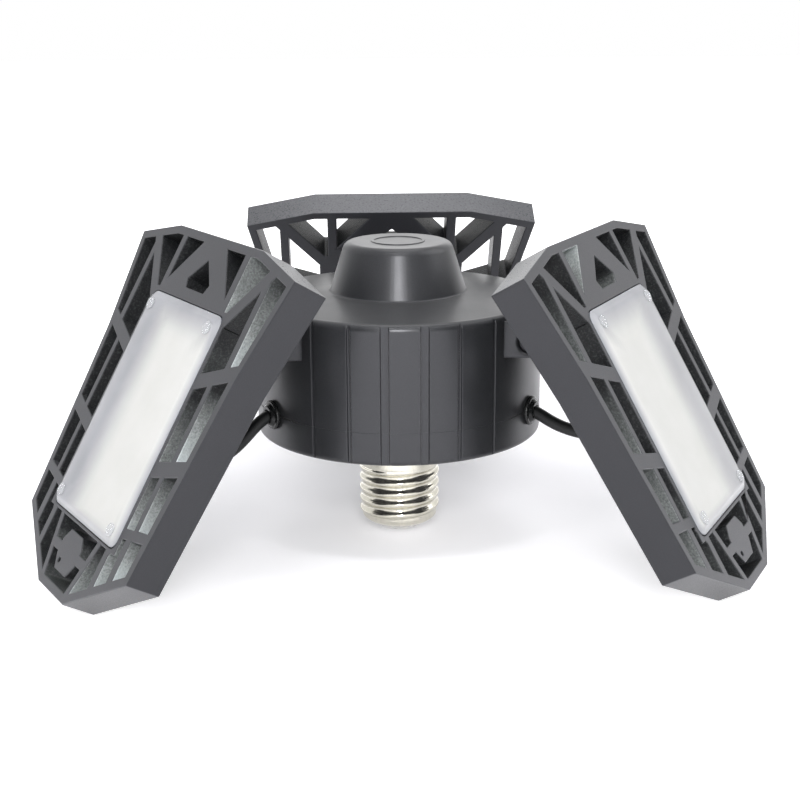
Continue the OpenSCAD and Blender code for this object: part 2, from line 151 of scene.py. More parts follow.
class Material(Tree):
    """A material's tree. Its textures run on object coordinates, in metres."""

    def __init__(self, name):
        self.mat = bpy.data.materials.new(name)
        super().__init__(self.mat, "ShaderNodeOutputMaterial")
        self.coord = self.node("ShaderNodeTexCoord").outputs["Object"]

    def noise(self, scale, detail=3.0, rough=0.55, stretch=None):
        n = self.node("ShaderNodeTexNoise", Scale=scale, Detail=detail, Roughness=rough)
        coord = self.coord
        if stretch:
            mapping = self.node("ShaderNodeMapping", Scale=stretch)
            self.link(coord, mapping.inputs["Vector"])
            coord = mapping.outputs["Vector"]
        self.link(coord, n.inputs["Vector"])
        return n.outputs["Fac"]

    def specks(self, scale):
        n = self.node("ShaderNodeTexVoronoi", Scale=scale)
        self.link(self.coord, n.inputs["Vector"])
        return n.outputs["Distance"]

    def stored(self, name):
        """A value kept on the mesh's vertices."""
        return self.node("ShaderNodeAttribute", attribute_name=name).outputs["Fac"]

    def ramp(self, source, low, high, at=(0.3, 0.7)):
        """From one colour or number to another, between two places of the source's range."""
        n = self.node("ShaderNodeValToRGB")
        for element, place, value in zip(n.color_ramp.elements, at, (low, high)):
            colour = value if isinstance(value, tuple) else (value, value, value)
            element.position = place
            element.color = (*colour, 1.0)
        self.link(source, n.inputs["Fac"])
        return n.outputs["Color"]

    def mix(self, fac, a, b, kind="MIX"):
        n = self.node("ShaderNodeMix", data_type="RGBA", blend_type=kind)
        for index, value in ((0, fac), (6, a), (7, b)):
            if isinstance(value, bpy.types.NodeSocket):
                self.link(value, n.inputs[index])
            else:
                plain = (*value, 1.0) if isinstance(value, tuple) else value
                n.inputs[index].default_value = plain
        return n.outputs[2]

    def bump(self, height, strength, distance, normal=None):
        n = self.node("ShaderNodeBump", Strength=strength, Distance=distance)
        self.link(height, n.inputs["Height"])
        if normal is not None:
            self.link(normal, n.inputs["Normal"])
        return n.outputs["Normal"]

    def surface(self, **inputs):
        """End the tree in one shader; an input's name is written with _ for each space."""
        p = self.node("ShaderNodeBsdfPrincipled")
        for key, value in inputs.items():
            socket = p.inputs[key.replace("_", " ")]
            if isinstance(value, bpy.types.NodeSocket):
                self.link(value, socket)
            else:
                socket.default_value = (*value, 1.0) if socket.type == "RGBA" else value
        self.link(p.outputs[0], self.out.inputs[0])
        return self.mat


# ---------------------------------------------------------------- materials

# The cool tint of a dark surface's gloss, and the places of a fine grain's two colours.
COOL = (0.95, 0.955, 1.0)
FINE = (0.35, 0.65)


def moulded_plastic():
    m = Material("moulded_plastic")
    broad = m.noise(45.0, 4.0)
    grain = m.noise(2600.0, 2.0)
    cloudy = m.ramp(broad, (0.0105, 0.011, 0.0125), (0.0155, 0.016, 0.018))
    grainy = m.ramp(grain, (0.0095, 0.010, 0.0112), (0.0182, 0.0187, 0.021), FINE)
    return m.surface(Base_Color=m.mix(0.5, cloudy, grainy), Roughness=m.ramp(broad, 0.29, 0.38),
                     Specular_Tint=COOL, Specular_IOR_Level=0.5,
                     Sheen_Weight=0.12, Sheen_Roughness=0.4, Normal=m.bump(grain, 0.2, 0.00005))


def cast_coat(name, depth, specular):
    """The coat of the panels; depth is how much of its full tone the colour has, so a lower depth
    makes a darker copy, which paints shade.
    """
    m = Material(name)
    broad = m.noise(60.0, 4.0)
    grain = m.noise(3200.0, 2.0)

    def tone(*colour):
        return tuple(c * depth for c in colour)

    cloudy = m.ramp(broad, tone(0.023, 0.0235, 0.027), tone(0.031, 0.0315, 0.036))
    grainy = m.ramp(grain, tone(0.021, 0.0215, 0.0245), tone(0.034, 0.0345, 0.039), FINE)
    return m.surface(Base_Color=m.mix(0.5, cloudy, grainy), Roughness=m.ramp(grain, 0.30, 0.42),
                     Specular_Tint=COOL, Specular_IOR_Level=specular,
                     Normal=m.bump(grain, 0.3, 0.00006))


def cast_skin_painted_sheen():
    """The grainy skin of the facets at a panel's inner end: coat over a coarse casting, painted
    lighter than the coat as a painted sheen of the light at a grazing view.
    """
    m = Material("cast_skin_painted_sheen")
    grain = m.noise(1500.0, 4.0, 0.65)
    colour = m.ramp(grain, (0.040, 0.041, 0.045), (0.085, 0.086, 0.092), (0.45, 0.72))
    return m.surface(Base_Color=colour, Roughness=m.ramp(grain, 0.24, 0.40),
                     Specular_Tint=COOL, Specular_IOR_Level=0.6,
                     Normal=m.bump(grain, 0.35, 0.00008))


def cast_rough():
    """Window walls: coarse dark casting, with painted light: a value on the vertices paints the
    walls paler towards a window's foot, palest there, as lit from above; where it is low, the dark
    casting also stands for the painted shade under the rib above.
    """
    m = Material("cast_rough")
    grain = m.noise(1700.0, 5.0, 0.7)
    specks = m.specks(1900.0)
    broad = m.noise(160.0, 3.0)
    # The dark casting, also painted shade at a window's top; then two paler tones of painted
    # light, the palest at a window's foot.
    dark_cast_and_shade = m.ramp(grain, (0.007, 0.0075, 0.0085), (0.075, 0.08, 0.08), (0.50, 0.80))
    painted_wall_light = m.ramp(grain, (0.10, 0.11, 0.108), (0.33, 0.35, 0.345), (0.3, 0.62))
    painted_foot_light = m.ramp(grain, (0.42, 0.455, 0.46), (0.58, 0.62, 0.63))
    # The painted light kept on the vertices, with a broad random tone over it.
    share = m.mix(0.22, m.stored("painted_wall_light"), broad, "OVERLAY")
    colour = m.mix(m.ramp(share, 0.0, 1.0, (0.15, 0.55)), dark_cast_and_shade, painted_wall_light)
    colour = m.mix(m.ramp(share, 0.0, 1.0, (0.5, 0.9)), colour, painted_foot_light)
    return m.surface(Base_Color=colour, Roughness=m.ramp(grain, 0.30, 0.50),
                     Normal=m.bump(specks, 0.5, 0.0001, m.bump(grain, 0.8, 0.0003)))


def dark_cast():
    m = Material("dark_cast")
    grain = m.noise(2200.0, 3.0)
    colour = m.ramp(grain, (0.020, 0.020, 0.022), (0.034, 0.034, 0.037), FINE)
    return m.surface(Base_Color=colour, Roughness=m.ramp(grain, 0.4, 0.55),
                     Normal=m.bump(grain, 0.4, 0.00008))


def black_rubber(name, rough):
    m = Material(name)
    grain = m.noise(1800.0, 2.0)
    colour = m.ramp(grain, (0.005, 0.0055, 0.0058), (0.010, 0.0108, 0.011), FINE)
    return m.surface(Base_Color=colour, Roughness=m.ramp(grain, rough, rough + 0.1),
                     Specular_IOR_Level=0.35, Normal=m.bump(grain, 0.2, 0.00004))


def metal(name, colour, low, high, scale=900.0):
    """Plated or bare metal with fine upright streaks, its roughness between low and high."""
    m = Material(name)
    streak = m.noise(scale, 3.0, 0.6, (1.0, 1.0, 0.25))
    dim = tuple(c * 0.86 for c in colour)
    return m.surface(Base_Color=m.ramp(streak, dim, colour), Metallic=1.0,
                     Roughness=m.ramp(streak, low, high), Normal=m.bump(streak, 0.15, 0.00003))


def frosted():
    """Frosted lens, with painted shade: "glow" runs from a grey border, painted shade, to the
    milky part; "wall" marks the sides, painted dark as shade.
    """
    m = Material("frosted_lens")
    grain = m.noise(2400.0, 2.0)
    broad = m.noise(70.0, 2.0)
    milky = m.ramp(broad, (0.68, 0.675, 0.65), (0.72, 0.715, 0.695))
    # The grey border: painted shade.
    painted_shade_border = m.ramp(broad, (0.34, 0.345, 0.37), (0.40, 0.405, 0.43))
    colour = m.mix(m.stored("glow"), painted_shade_border, milky)
    # The lens's sides painted dark: painted shade.
    colour = m.mix(m.ramp(m.stored("wall"), 0.0, 1.0, (0.1, 0.9)), colour, (0.13, 0.135, 0.15))
    return m.surface(Base_Color=colour, Roughness=m.ramp(grain, 0.17, 0.24), IOR=1.40,
                     Transmission_Weight=0.3, Normal=m.bump(grain, 0.2, 0.00005))


def clear_plastic():
    m = Material("clear_stud")
    grain = m.noise(600.0, 2.0)
    colour = m.ramp(grain, (0.84, 0.86, 0.89), (0.92, 0.93, 0.95))
    return m.surface(Base_Color=colour, Roughness=m.ramp(grain, 0.04, 0.10), IOR=1.49,
                     Transmission_Weight=0.72, Normal=m.bump(grain, 0.5, 0.0002))


def speckled(name, low, high, scale, rough):
    """The parts behind the lens: even gloss, with a fine grain in the colour."""
    m = Material(name)
    grain = m.noise(scale, 2.0)
    return m.surface(Base_Color=m.ramp(grain, low, high), Roughness=rough,
                     Normal=m.bump(grain, 0.1, 0.00003))


def glazed(name, low, high, rough):
    m = Material(name)
    broad = m.noise(300.0, 3.0)
    return m.surface(Base_Color=m.ramp(broad, low, high),
                     Roughness=m.ramp(broad, rough, rough + 0.1),
                     Normal=m.bump(broad, 0.1, 0.00004))


MAT = {
    "plastic": moulded_plastic(),
    "coat": cast_coat("cast_coat", 1.0, 0.52),
    # A darker copy of the coat on the panels' flanks: painted shade.
    "flank": cast_coat("cast_coat_flanks_painted_shade", 0.55, 0.38),
    "rough": cast_rough(),
    "skin": cast_skin_painted_sheen(),
    "arm": dark_cast(),
    "rubber": black_rubber("gland_rubber", 0.2),
    "sheath": black_rubber("lead_sheath", 0.42),
    "nickel": metal("nickel_plate", (0.73, 0.705, 0.615), 0.13, 0.25),
    "contact": metal("contact_metal", (0.84, 0.83, 0.80), 0.25, 0.4),
    "zinc": metal("zinc_plate", (0.60, 0.61, 0.63), 0.28, 0.42, 1400.0),
    "dark_steel": metal("dark_steel", (0.035, 0.035, 0.038), 0.3, 0.45, 1400.0),
    "spring": metal("spring_steel", (0.48, 0.48, 0.50), 0.25, 0.4, 1400.0),
    "lens": frosted(),
    "stud": clear_plastic(),
    "board": speckled("white_board", (0.84, 0.82, 0.75), (0.90, 0.88, 0.81), 800.0, 0.45),
    "chip": speckled("phosphor", (0.84, 0.66, 0.25), (0.93, 0.76, 0.34), 1500.0, 0.4),
    "insulator": glazed("glazed_insulator", (0.72, 0.71, 0.68), (0.84, 0.83, 0.80), 0.25),
    "circuit": glazed("solder_mask", (0.02, 0.10, 0.045), (0.03, 0.14, 0.06), 0.35),
    "component": glazed("component_wrap", (0.16, 0.11, 0.05), (0.26, 0.18, 0.08), 0.4),
}

# ---------------------------------------------------------------- places, in mm as in the CAD

# How far the panels hang below level, and how far out from the lamp's axis and up the hinges are.
DROOP = math.radians(59.2)
HINGE_R, HINGE_Z = 50.4, 45.6
# From the hinge axis to a panel's back face and back to its inner end; its thickness and length.
HINGE_GAP, HINGE_FOOT, PANEL_T, PANEL_L = 14.6, 21.4, 10.8, 113.9
INNER_HALF, OUTER_HALF = 27.5, 10.4
# Half a panel's outline, as (distance along it, half its width).
HALF_OUTLINE = [(0, INNER_HALF), (5.4, 51.1), (37, 44.6), (97.2, 39.3), (PANEL_L, OUTER_HALF)]
# The body's radius, and the heights of its seam and of the cover's underside.
BODY_R, SEAM_Z, COVER_Z = 45.5, 20.5, 10.3


def clamp(x):
    return min(1.0, max(0.0, x))


def smooth_step(low, high, x):
    t = clamp((x - low) / (high - low))
    return t * t * (3 - 2 * t)


def circle(count):
    """The angles of a full turn in even steps."""
    return [2 * math.pi * k / count for k in range(count)]


def polar(r, angle, z):
    """A point round the lamp's axis, in metres."""
    return Vector((r * math.cos(angle), r * math.sin(angle), z)) * MM


def turned_apart(a, b):
    """Degrees between two azimuths."""
    return abs((a - b + 180) % 360 - 180)


def spokes(azimuth):
    """The directions outwards and across at an azimuth."""
    a = math.radians(azimuth)
    return Vector((math.cos(a), math.sin(a), 0)), Vector((-math.sin(a), math.cos(a), 0))


def panel_axes(azimuth):
    """A panel at rest: a point of its hinge axis, and along it, across it and out of its face."""
    out, across = spokes(azimuth)
    along = out * math.cos(DROOP) - UP * math.sin(DROOP)
    face = out * math.sin(DROOP) + UP * math.cos(DROOP)
    return (out * HINGE_R + UP * HINGE_Z) * MM, along, across, face


def to_panel(azimuth, point):
    """A point's distance in mm along a panel, across it and above its back face."""
    origin, along, across, face = panel_axes(azimuth)
    d = (point - origin) / MM
    return Vector((d.dot(along) + HINGE_FOOT, d.dot(across), d.dot(face) - HINGE_GAP))


def on_panel(azimuth, v, u, w):
    """The point that to_panel gives as (v, u, w)."""
    origin, along, across, face = panel_axes(azimuth)
    return origin + (along * (v - HINGE_FOOT) + across * u + face * (HINGE_GAP + w)) * MM


# ---------------------------------------------------------------- making pieces


def new_object(name, mesh):
    o = bpy.data.objects.new(name, mesh)
    SCENE.collection.objects.link(o)
    return o


def finish_piece(o, node, materials):
    """Materials, the body it rides on, and the hiding of the CAD node it stands for."""
    for name in materials:
        o.data.materials.append(MAT[name])
    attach(o, NODES[node]["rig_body"])
    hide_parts(node)


def add_piece(mesh, node, material, sharp):
    """A piece from a mesh of the same name; edges of more than sharp degrees stay hard."""
    mesh.set_sharp_from_angle(angle=math.radians(sharp))
    finish_piece(new_object(mesh.name, mesh), node, [material])


# Edges sharper than the first are rounded; faces closer than the second are joined.
ROUND_ANGLE = math.radians(32.0)
FLAT_ANGLE = math.radians(0.4)


def dressed(node, name, width):
    """A new mesh over a CAD node: welded, flat faces joined, sharp edges rounded by a bevel."""
    mesh = NODES[node].data.copy()
    mesh.materials.clear()
    bm = bmesh.new()
    bm.from_mesh(mesh)
    bmesh.ops.remove_doubles(bm, verts=bm.verts, dist=1e-7)
    bmesh.ops.dissolve_limit(bm, angle_limit=FLAT_ANGLE, verts=bm.verts, edges=bm.edges)
    bmesh.ops.recalc_face_normals(bm, faces=bm.faces)
    for face in bm.faces:
        face.smooth = True
        face.material_index = 0
    bm.to_mesh(mesh)
    bm.free()
    for attribute in ("custom_normal", "sharp_edge"):
        if attribute in mesh.attributes:
            mesh.attributes.remove(mesh.attributes[attribute])
    o = new_object(name, mesh)
    bevel = o.modifiers.new("round_edges", "BEVEL")
    bevel.width = width * MM
    bevel.segments = 2
    bevel.limit_method = "ANGLE"
    bevel.angle_limit = ROUND_ANGLE
    bevel.use_clamp_overlap = False
    bevel.harden_normals = True
    mesh.set_sharp_from_angle(angle=ROUND_ANGLE)
    return o


def grid_mesh(name, rings, closed=True):
    """A mesh of closed rings of points: the last joined to the first, or both ends capped."""
    count, width = len(rings), len(rings[0])
    faces = []
    for i in range(count if closed else count - 1):
        here, there = i * width, (i + 1) % count * width
        for k in range(width):
            n = (k + 1) % width
            faces.append((here + k, here + n, there + n, there + k))
    if not closed:
        faces.append(tuple(range(width - 1, -1, -1)))
        faces.append(tuple((count - 1) * width + k for k in range(width)))
    mesh = bpy.data.meshes.new(name)
    mesh.from_pydata([tuple(p) for ring in rings for p in ring], [], faces)
    bm = bmesh.new()
    bm.from_mesh(mesh)
    bmesh.ops.recalc_face_normals(bm, faces=bm.faces)
    for face in bm.faces:
        face.smooth = True
    bm.to_mesh(mesh)
    bm.free()
    return mesh


# How far beside a rounded corner its holding points lie, which keep the shading there flat.
HOLD = 0.12


def rounded(points, steps=6):
    """Corners (r, z, fillet) as (r, z) points: each rounded, with a holding point on each side."""
    out = []
    for i, (r, z, fillet) in enumerate(points):
        here = Vector((r, z))
        if fillet <= 0 or i in (0, len(points) - 1):
            out.append((r, z))
            continue
        a = (Vector(points[i - 1][:2]) - here).normalized()
        b = (Vector(points[i + 1][:2]) - here).normalized()
        half = a.angle(b) / 2
        reach = fillet / math.tan(half)
        centre = here + (a + b).normalized() * (fillet / math.sin(half))
        p, q = here + a * reach - centre, here + b * reach - centre
        swing = p.angle_signed(q)
        out.append(tuple(here + a * (reach + HOLD)))
        for k in range(steps + 1):
            t = -swing * k / steps
            turn = Vector((p.x * math.cos(t) - p.y * math.sin(t),
                           p.x * math.sin(t) + p.y * math.cos(t)))
            out.append(tuple(centre + turn))
        out.append(tuple(here + b * (reach + HOLD)))
    return out


# ---------------------------------------------------------------- panel frames

# Painted light on each window's walls, at the window's top and at its foot: low values keep the
# dark casting as painted shade, high ones paint the walls pale as lit from above, and the panels
# differ as the light falls on them. A window is named by its middle: mm along the panel, and mm
# from its centre line towards the flank turned to the front.
WINDOW_PAINTED_LIGHT = {
    "left": {
        (10, 16): (0.0, 0.08), (12, 27): (0.34, 0.55), (20, 42): (0.16, 0.75),
        (25, 30): (0.02, 0.22), (50, 38): (0.05, 0.85), (52, 29): (0.08, 0.44),
        (75, 36): (0.12, 0.80), (76, 28): (0.18, 0.62), (92, 34): (0.28, 0.86),
        (95, 26): (0.28, 0.70), (101, 17): (0.08, 0.62), (96, 0): (0.06, 0.24),
        (107, 0): (0.06, 0.24),
    },
    "right": {
        (10, 16): (0.66, 0.34), (12, 27): (0.08, 0.16), (20, 42): (0.10, 0.32),
        (25, 30): (0.02, 0.14), (50, 38): (0.10, 0.36), (52, 29): (0.02, 0.14),
        (75, 36): (0.24, 0.42), (76, 28): (0.08, 0.22), (92, 34): (0.26, 0.44),
        (95, 26): (0.10, 0.22), (101, 17): (0.08, 0.20), (12, 0): (0.0, 0.30),
    },
    "back": {},
}
# The painted light of a window that the table leaves out.
PLAIN_PAINTED_LIGHT = (0.02, 0.14)
# How near to a row's middle a window's has to be, in mm.
WINDOW_REACH = 4.0

# Of these, the flank material paints shade, the skin is partly painted light, and the rough one
# carries the windows' painted light and shade.
FRAME_MATERIALS = ["coat", "rough", "skin", "flank"]
COAT, ROUGH, SKIN, FLANK = range(4)
# A face counts as inside the casting from this far off its outline, back or front, in mm.
INSIDE, BELOW_FACE = 0.5, 3.0


def window_painted_light(side, v, u):
    """The row of painted light of the window whose middle is nearest to (v, u), or the plain row.
    """
    nearest, best = PLAIN_PAINTED_LIGHT, WINDOW_REACH
    for (at_v, at_u), painted_row in WINDOW_PAINTED_LIGHT[side].items():
        away = math.hypot(at_v - v, at_u - u)
        if away < best:
            nearest, best = painted_row, away
    return nearest


def edge_distance(v, u):
    """How far a point lies from the panel's outline, in mm."""
    u = abs(u)
    best = []
    for (v0, u0), (v1, u1) in zip(HALF_OUTLINE, HALF_OUTLINE[1:]):
        dv, du = v1 - v0, u1 - u0
        best.append(abs((v - v0) * du - (u - u0) * dv) / math.hypot(dv, du))
    if u < INNER_HALF:
        best.append(v)
    if u < OUTER_HALF:
        best.append(PANEL_L - v)
    return min(best)


def frame_material(place, normal, axes):
    """A frame face's material, and whether it is a window's wall."""
    _, along, across, face = axes
    if abs(normal.dot(face)) > 0.5:
        deep = INSIDE < place.z < PANEL_T - BELOW_FACE
        return (ROUGH if deep else COAT), False
    if edge_distance(place.x, place.y) > INSIDE:
        return ROUGH, True
    # Facets at the inner end take the lighter skin: a coarser grain, and painted sheen.
    if normal.dot(along) < -0.5:
        return SKIN, False
    # Flanks take the darker copy of the coat: painted shade.
    return (FLANK if abs(normal.dot(across)) > 0.8 else COAT), False


def paint_frame(mesh, side):
    """Each face's material, and on the window walls a value of painted light, from a window's top
    down to its foot.
    """
    azimuth = SIDES[side]
    axes = panel_axes(azimuth)
    windows = []
    for polygon in mesh.polygons:
        place = to_panel(azimuth, polygon.center)
        polygon.material_index, is_wall = frame_material(place, polygon.normal, axes)
        if is_wall:
            wall = set(polygon.vertices)
            joined = [w for w in windows if w & wall]
            windows = [w for w in windows if not w & wall] + [wall.union(*joined)]
    # Painted light on each window's walls, growing from its top down to its foot.
    painted_wall_light = [0.0] * len(mesh.vertices)
    for window in windows:
        spots = {i: to_panel(azimuth, mesh.vertices[i].co) for i in window}
        low, high = min(p.x for p in spots.values()), max(p.x for p in spots.values())
        middle = sum(p.y for p in spots.values()) / len(spots)
        top, foot = window_painted_light(side, (low + high) / 2, middle * NEAR[side])
        for i, p in spots.items():
            painted_wall_light[i] = top + (foot - top) * (p.x - low) / max(high - low, 1.0)
    mesh.attributes.new("painted_wall_light", "FLOAT", "POINT").data.foreach_set("value", painted_wall_light)


def make_frames():
    for side in SIDES:
        node = f"frame_{side}"
        o = dressed(node, f"{node}_cast", 0.35)
        finish_piece(o, node, FRAME_MATERIALS)
        paint_frame(o.data, side)


# ---------------------------------------------------------------- body

# The upright grooves as (azimuth, half width in mm, depth in mm): six in each gap between panels.
GROOVES = [(mid + side * a, half, depth) for mid in (30, 150, 270) for side in (-1, 1)
           for a, half, depth in ((7.45, 1.25, 0.6), (21.1, 0.5, 0.48), (36.3, 0.5, 0.48))]
# Half the width of a groove's wall in mm, the even columns' step in degrees, and how far from a
# groove's edge the closer ones lie, in mm.
GROOVE_EDGE = 0.16
COLUMN_STEP = 2.5
EDGE_SHIFTS = (-0.22, -0.12, -0.04, 0.04, 0.12, 0.22, 0.4)


def body_columns():
    """Azimuths of the body's mesh columns: even steps, and closer ones over the groove edges."""
    places = {round(i * COLUMN_STEP, 4) for i in range(int(360 / COLUMN_STEP))}
    for centre, half, _ in GROOVES:
        near = math.degrees((half + 0.5) / BODY_R)
        places = {a for a in places if turned_apart(a, centre) > near}
        for side in (-1, 1):
            for shift in EDGE_SHIFTS:
                off = side * math.degrees((half + shift) / BODY_R)
                places.add(round((centre + off) % 360, 4))
    return sorted(places)


def groove_limit(azimuth):
    """The body's outer radius at an azimuth, inside the grooves and outside them."""
    limit = BODY_R
    for centre, half, depth in GROOVES:
        off = math.radians(turned_apart(azimuth, centre)) * BODY_R
        wall = smooth_step(half - GROOVE_EDGE, half + GROOVE_EDGE, off)
        limit = min(limit, BODY_R - depth * (1 - wall))
    return limit


SEAM_GAP, GLAND_LIFT = 0.02, 0.38


def seam_lift(azimuth):
    """How far the housing's lower edge stands off the cover: more beside a gland."""
    away = min(turned_apart(azimuth, a) for a in SIDES.values())
    return SEAM_GAP + GLAND_LIFT * (1 - smooth_step(9.0, 19.0, away))


def body_rings(profile, lifted=False):
    """A profile turned round the axis, with the grooves; its edge at the seam may be lifted."""
    columns = [(math.radians(a), groove_limit(a), seam_lift(a)) for a in body_columns()]
    rings = []
    for r, z in profile:
        share = smooth_step(SEAM_Z + 1.6, SEAM_Z + 0.5, z) if lifted else 0
        rings.append([polar(min(r, limit), a, z + lift * share) for a, limit, lift in columns])
    return rings


def make_housing():
    # (radius, height, fillet): raised ring, dome, shoulder and wall, then the inside.
    profile = rounded([
        (0.4, 70.1, 0), (7.45, 70.1, 0.12), (7.65, 70.38, 0.12), (8.45, 70.38, 0.12),
        (8.65, 70.1, 0.12), (16.8, 70.1, 2.8), (21.6, 54.8, 0.7), (43.1, 53.02, 4),
        (BODY_R, 53.0, 2.0), (BODY_R, SEAM_Z, 0.04), (43.3, SEAM_Z, 0.1), (43.3, 50.8, 1.5),
        (19.6, 52.4, 0), (15.6, 66.4, 0), (0.4, 67.6, 0),
    ])
    mesh = grid_mesh("housing_shell", body_rings(profile, lifted=True), closed=False)
    add_piece(mesh, "housing", "plastic", 40)


# An ear's side view about the hinge axis: round outside, and these corners towards the body.
EAR_R = 4.6
EAR_CORNERS = [(0, EAR_R), (-7.6, 5.9), (-7.6, -5.4), (0, -EAR_R)]
# Its inner and outer faces, and the floor of its recess.
EAR_IN, EAR_OUT = 11.5, 14.7
EAR_FLOOR = EAR_OUT - 2.0
# (inset from the outline, distance across from the panel's centre line).
EAR_OUTLINE = [(0.45, EAR_OUT), (0.3, EAR_OUT - 0.01), (0.1, EAR_OUT - 0.09), (0, EAR_OUT - 0.3),
               (0, EAR_IN + 0.3), (0.1, EAR_IN + 0.09), (0.3, EAR_IN + 0.01), (0.45, EAR_IN)]
# (radius, distance across): the bolt's hole, and the recess for its head or nut.
EAR_BORE = [(2.3, EAR_IN), (2.1, EAR_IN + 0.1), (2.05, EAR_IN + 0.2), (2.05, EAR_FLOOR),
            (3.15, EAR_FLOOR), (3.2, EAR_FLOOR + 0.05), (3.2, EAR_OUT - 0.55),
            (3.26, EAR_OUT - 0.45), (3.72, EAR_OUT - 0.06), (3.86, EAR_OUT)]


def ear_reach(angle, inset):
    """Distance from the hinge axis to an ear's outline, in a direction of its side view."""
    x, z = math.cos(angle), math.sin(angle)
    if x >= 0:
        return EAR_R - inset
    best = []
    for (x0, z0), (x1, z1) in zip(EAR_CORNERS, EAR_CORNERS[1:]):
        n = math.hypot(x1 - x0, z1 - z0)
        nx, nz = -(z1 - z0) / n, (x1 - x0) / n
        h = x0 * nx + z0 * nz
        if h < 0:
            nx, nz, h = -nx, -nz, -h
        facing = nx * x + nz * z
        if facing > 1e-6:
            best.append((h - inset) / facing)
    return min(best)


def make_ears():
    corners = [math.atan2(z, x) % (2 * math.pi) for x, z in EAR_CORNERS[1:3]]
    angles = sorted({round(a, 5) for a in circle(96) + corners})
    shape = [[(ear_reach(a, inset), a, depth) for a in angles] for inset, depth in EAR_OUTLINE]
    shape += [[(r, a, depth) for a in angles] for r, depth in EAR_BORE]
    for side, azimuth in SIDES.items():
        out, across = spokes(azimuth)
        for hand, tag in ((-1, "a"), (1, "b")):
            rings = [[(out * (HINGE_R + r * math.cos(a)) + UP * (HINGE_Z + r * math.sin(a))
                       + across * hand * depth) * MM for r, a, depth in ring] for ring in shape]
            mesh = grid_mesh(f"hinge_ear_{side}_{tag}", rings)
            add_piece(mesh, "housing", "plastic", 50)


# The cover's screws: azimuths, the circle they are on, and the radius and length of a recess.
SCREWS_AT = (30, 150, 270)
SCREW_CIRCLE = 40.2
RECESS_R, RECESS_LONG = 3, 3.8


def cut_recess(o, azimuth):
    """A round recess in the cover's underside, for one screw's head."""
    bm = bmesh.new()
    bmesh.ops.create_cone(bm, cap_ends=True, segments=64, radius1=RECESS_R * MM,
                          radius2=RECESS_R * MM, depth=RECESS_LONG * MM)
    tool = bpy.data.meshes.new("counterbore")
    bm.to_mesh(tool)
    bm.free()
    cutter = new_object("counterbore", tool)
    cutter.location = polar(SCREW_CIRCLE, math.radians(azimuth), COVER_Z - 0.1)
    cut = o.modifiers.new("counterbore", "BOOLEAN")
    cut.object = cutter
    bpy.context.view_layer.update()
    graph = bpy.context.evaluated_depsgraph_get()
    fresh = bpy.data.meshes.new_from_object(o.evaluated_get(graph))
    o.modifiers.clear()
    o.data = fresh
    bpy.data.objects.remove(cutter)


def make_cover():
    # (radius, height, fillet): spigot, neck, underside and wall, then the lip and the inside.
    profile = rounded([
        (10.4, -8.9, 0), (11.35, -8.9, 0), (11.35, -0.02, 0), (14.1, -0.02, 0.15),
        (14.55, 1.5, 6), (16.2, 7.6, 6), (19.6, COVER_Z, 1.6), (BODY_R, COVER_Z, 1.5),
        (BODY_R, SEAM_Z, 0.04), (43.2, SEAM_Z, 0), (43.2, 22.9, 0.1), (41.8, 22.9, 0.1),
        (41.8, 12.9, 0), (10.4, 12.9, 0),
    ])
    o = new_object("base_cover_shell", grid_mesh("base_cover_shell", body_rings(profile)))
    for azimuth in SCREWS_AT:
        cut_recess(o, azimuth)
    o.data.materials.clear()
    for face in o.data.polygons:
        face.use_smooth = True
    o.data.set_sharp_from_angle(angle=math.radians(35))
    finish_piece(o, "base_cover", ["plastic"])


# ---------------------------------------------------------------- lenses

# Where the lens begins along its panel, its length and width, and the radius of its corners.
LENS_V, LENS_L, LENS_W = 21.3, 70.8, 48.4
LENS_CORNER = 3.2
# (inset from the outline, height over the frame's face): underside, wall, bevelled edge and top.
LENS_ROWS = [(2.7, -0.5), (2.45, -0.6), (2.3, -0.8), (2.25, -1.5), (2.15, -1.6), (0.2, -1.6),
             (0.06, -1.54), (0, -1.4), (0, -0.05), (0.05, 0.1), (0.2, 0.25), (1.75, 1.04),
             (2.05, 1.15)]
LENS_ROWS += [(inset, 1.2) for inset in (2.4, 3.1, 4.5, 6, 8, 10, 12, 14, 16, 18, 20.5, 23.5)]
CORNER_STEPS, EDGE_STEPS = 7, 8


def lens_outline(inset):
    """The lens's outline, drawn in by inset, as (v, u) points."""
    r = max(0.3, LENS_CORNER - inset)
    half_l, half_w = LENS_L / 2 - inset - r, LENS_W / 2 - inset - r
    corners = []
    for k, (sv, su) in enumerate(((1, 1), (-1, 1), (-1, -1), (1, -1))):
        for i in range(CORNER_STEPS + 1):
            t = math.pi / 2 * (k + i / CORNER_STEPS)
            corners.append(Vector((LENS_V + LENS_L / 2 + sv * half_l + r * math.cos(t),
                                   su * half_w + r * math.sin(t))))
    points = []
    for i, here in enumerate(corners):
        points.append(tuple(here))
        if i % (CORNER_STEPS + 1) == CORNER_STEPS:
            there = corners[(i + 1) % len(corners)]
            points += [tuple(here.lerp(there, k / EDGE_STEPS)) for k in range(1, EDGE_STEPS)]
    return points


